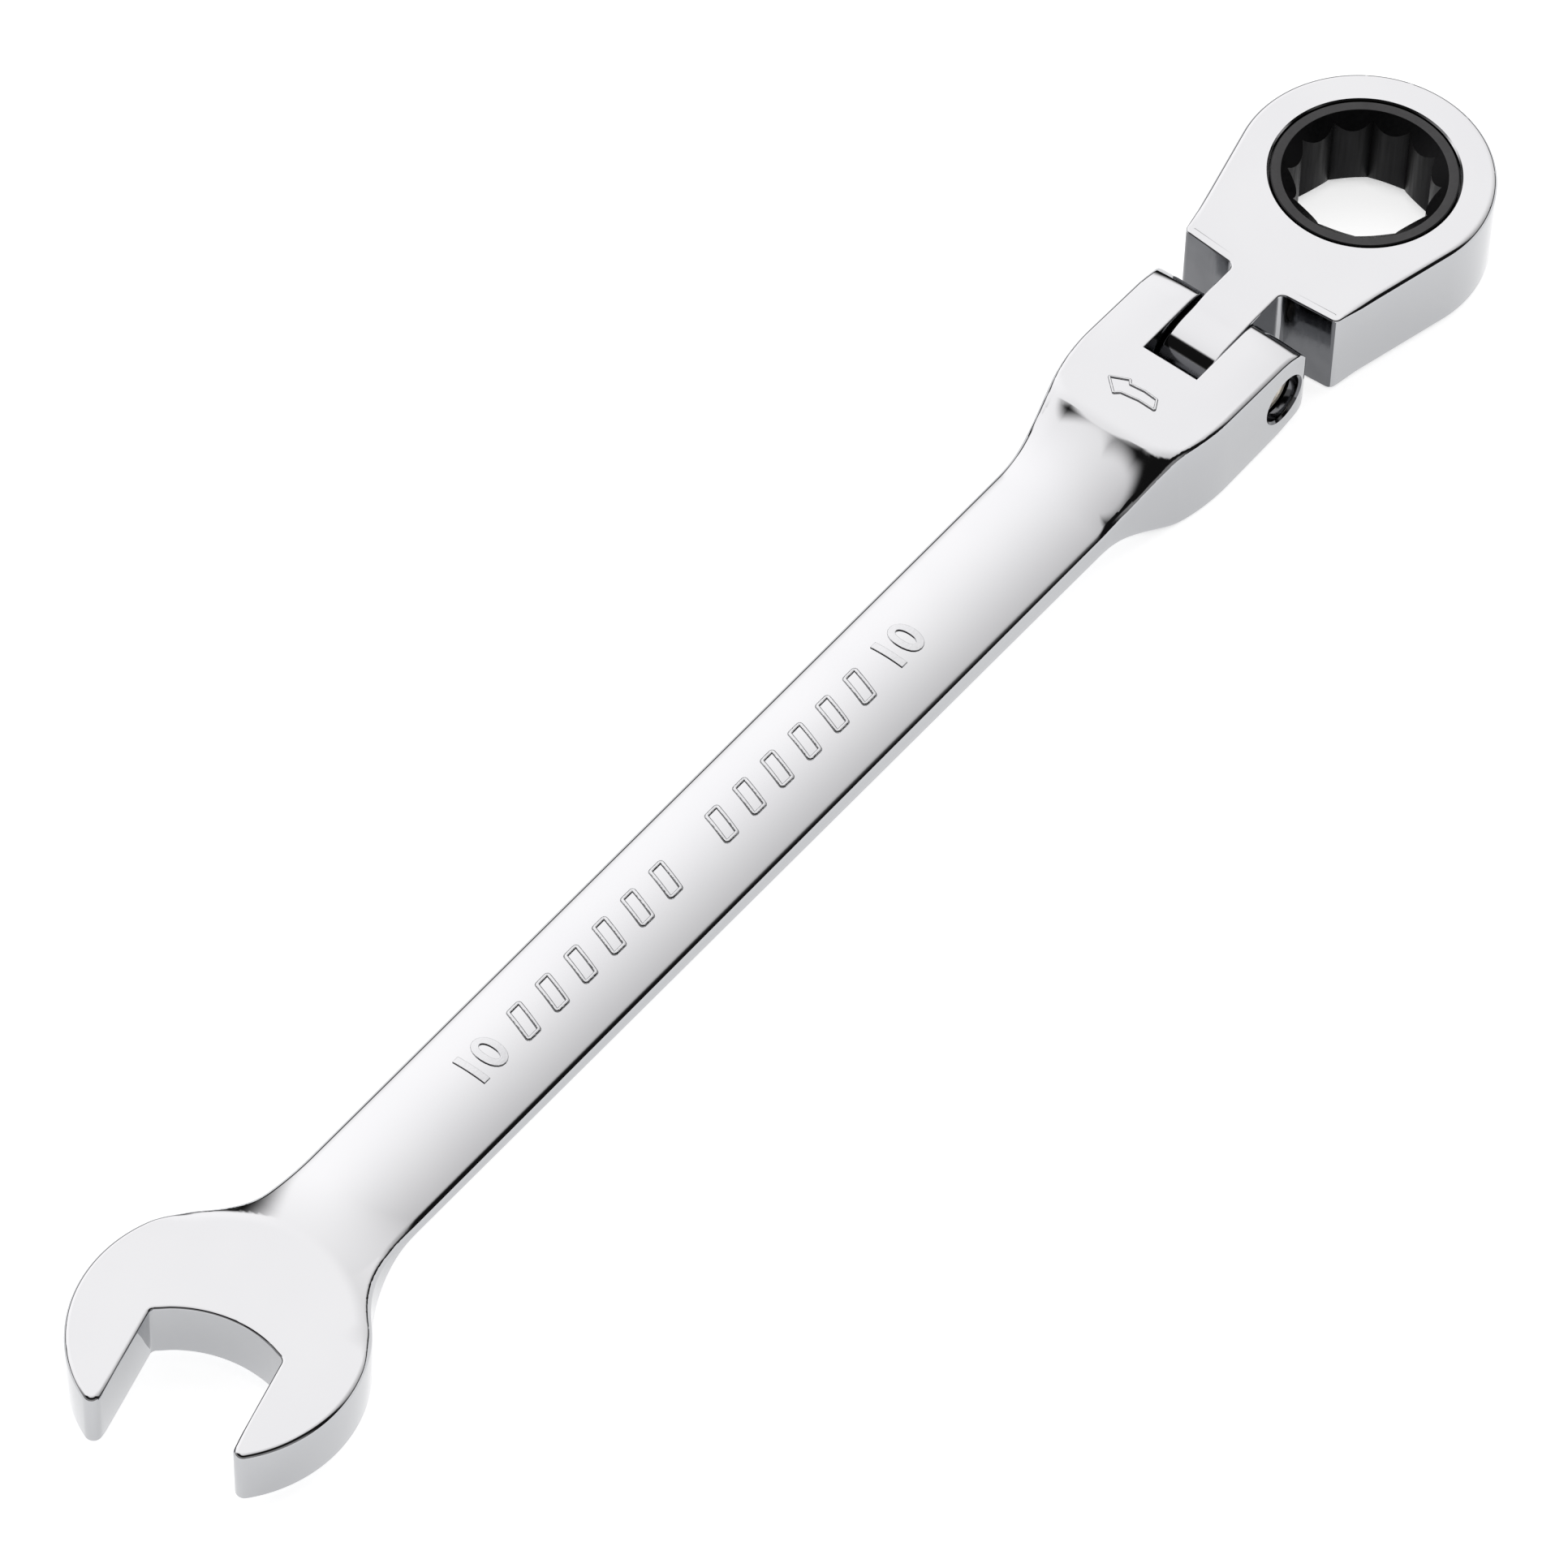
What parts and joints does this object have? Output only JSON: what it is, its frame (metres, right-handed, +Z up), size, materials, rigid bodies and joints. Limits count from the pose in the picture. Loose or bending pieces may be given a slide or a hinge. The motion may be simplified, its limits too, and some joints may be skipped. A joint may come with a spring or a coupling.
{
  "type": "flex-head ratcheting wrench",
  "caption": "Combination wrench with an open jaw at one end and a hinged one-way ratcheting 12-point ring at the other.",
  "frame": {"origin": "centre of the fork's flat underside, the face that the wrench lies on", "axes": "+X along the handle towards the ring, +Y across its width, +Z up through its thickness"},
  "size_m": [0.1532, 0.0213, 0.0084],
  "materials": {
    "chrome_plated_steel": "mirror-polished chrome plate on forged steel",
    "chrome_plated_head": "mirror-polished chrome plate, the shoulders as milled",
    "black_oxide_steel": "black oxide over machined steel",
    "hardened_pawl_steel": "ground and hardened",
    "spring_steel": "drawn wire",
    "phosphated_ring_steel": "dark phosphate coating",
    "nitrile_rubber": "moulded, matte",
    "zinc_plated_screw": "dull zinc plate",
    "tempered_washer_steel": "rolled strip, tempered"
  },
  "bodies": {
    "handle": {"handle": "chrome_plated_steel", "pivot_screw": "zinc_plated_screw"},
    "head": {"ratchet_head": "chrome_plated_head", "retaining_ring": "phosphated_ring_steel", "friction_washer_left": "tempered_washer_steel", "friction_washer_right": "tempered_washer_steel", "pawl_spring": "spring_steel"},
    "gear": {"ratchet_gear": "black_oxide_steel", "drag_ring": "nitrile_rubber"},
    "pawl": {"pawl": "hardened_pawl_steel"}
  },
  "joints": [
    {"name": "head_flex", "type": "hinge", "parent": "handle", "child": "head", "pos_m": [0.0091, 0, 0.0042], "axis": [0, 1, 0], "range_deg": [-90, 90]},
    {"name": "gear_turn", "type": "hinge", "parent": "head", "child": "gear", "pos_m": [0.0278, 0, 0.0042], "axis": [0, 0, 1], "continuous": true},
    {"name": "pawl_slide", "type": "slide", "parent": "head", "child": "pawl", "axis": [-1, 0, 0], "range_m": [0, 0.00045], "stiffness_N_per_m": 200, "springref_m": -0.001, "deforming": ["pawl_spring"]}
  ]
}
